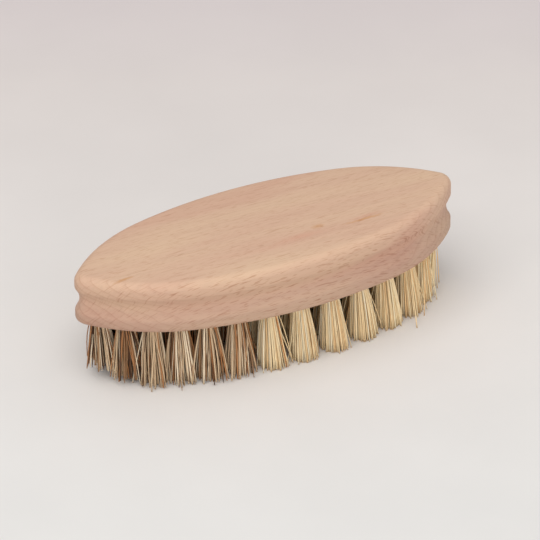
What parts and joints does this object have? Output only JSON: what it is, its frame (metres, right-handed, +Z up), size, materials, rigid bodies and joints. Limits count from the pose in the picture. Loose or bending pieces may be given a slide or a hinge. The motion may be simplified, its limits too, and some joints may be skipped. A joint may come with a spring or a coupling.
{
  "type": "vegetable brush",
  "caption": "Hand brush for vegetables: a pointed oval beech block with a finger cove all round, filled with dark hard fibre tufts at one end and pale soft ones at the other.",
  "frame": {"origin": "middle of the brush's footprint, on the plane that its fibre tips stand on", "axes": "+Z up to the flat top face, +X along the block to the end with the soft fibres, +Y across the block"},
  "size_m": [0.135, 0.052, 0.04],
  "materials": {
    "beech": "sanded raw beech",
    "hard_fibre": "coarse mixed plant fibre",
    "soft_fibre": "fine pale plant fibre",
    "staple_wire": "bright drawn wire"
  },
  "bodies": {
    "root": {"block": "beech", "staples": "staple_wire", "hard_tuft_01": "hard_fibre", "hard_tuft_02": "hard_fibre", "hard_tuft_03": "hard_fibre", "hard_tuft_04": "hard_fibre", "hard_tuft_05": "hard_fibre", "hard_tuft_06": "hard_fibre", "hard_tuft_07": "hard_fibre", "hard_tuft_08": "hard_fibre", "hard_tuft_09": "hard_fibre", "hard_tuft_10": "hard_fibre", "hard_tuft_11": "hard_fibre", "hard_tuft_12": "hard_fibre", "hard_tuft_13": "hard_fibre", "hard_tuft_14": "hard_fibre", "hard_tuft_15": "hard_fibre", "hard_tuft_16": "hard_fibre", "hard_tuft_17": "hard_fibre", "hard_tuft_18": "hard_fibre", "hard_tuft_19": "hard_fibre", "soft_tuft_01": "soft_fibre", "soft_tuft_02": "soft_fibre", "soft_tuft_03": "soft_fibre", "soft_tuft_04": "soft_fibre", "soft_tuft_05": "soft_fibre", "soft_tuft_06": "soft_fibre", "soft_tuft_07": "soft_fibre", "soft_tuft_08": "soft_fibre", "soft_tuft_09": "soft_fibre", "soft_tuft_10": "soft_fibre", "soft_tuft_11": "soft_fibre", "soft_tuft_12": "soft_fibre", "soft_tuft_13": "soft_fibre", "soft_tuft_14": "soft_fibre", "soft_tuft_15": "soft_fibre", "soft_tuft_16": "soft_fibre", "soft_tuft_17": "soft_fibre", "soft_tuft_18": "soft_fibre", "soft_tuft_19": "soft_fibre", "soft_tuft_20": "soft_fibre", "soft_tuft_21": "soft_fibre", "soft_tuft_22": "soft_fibre", "soft_tuft_23": "soft_fibre", "soft_tuft_24": "soft_fibre", "soft_tuft_25": "soft_fibre", "soft_tuft_26": "soft_fibre", "soft_tuft_27": "soft_fibre", "soft_tuft_28": "soft_fibre", "soft_tuft_29": "soft_fibre", "soft_tuft_30": "soft_fibre"}
  },
  "joints": []
}
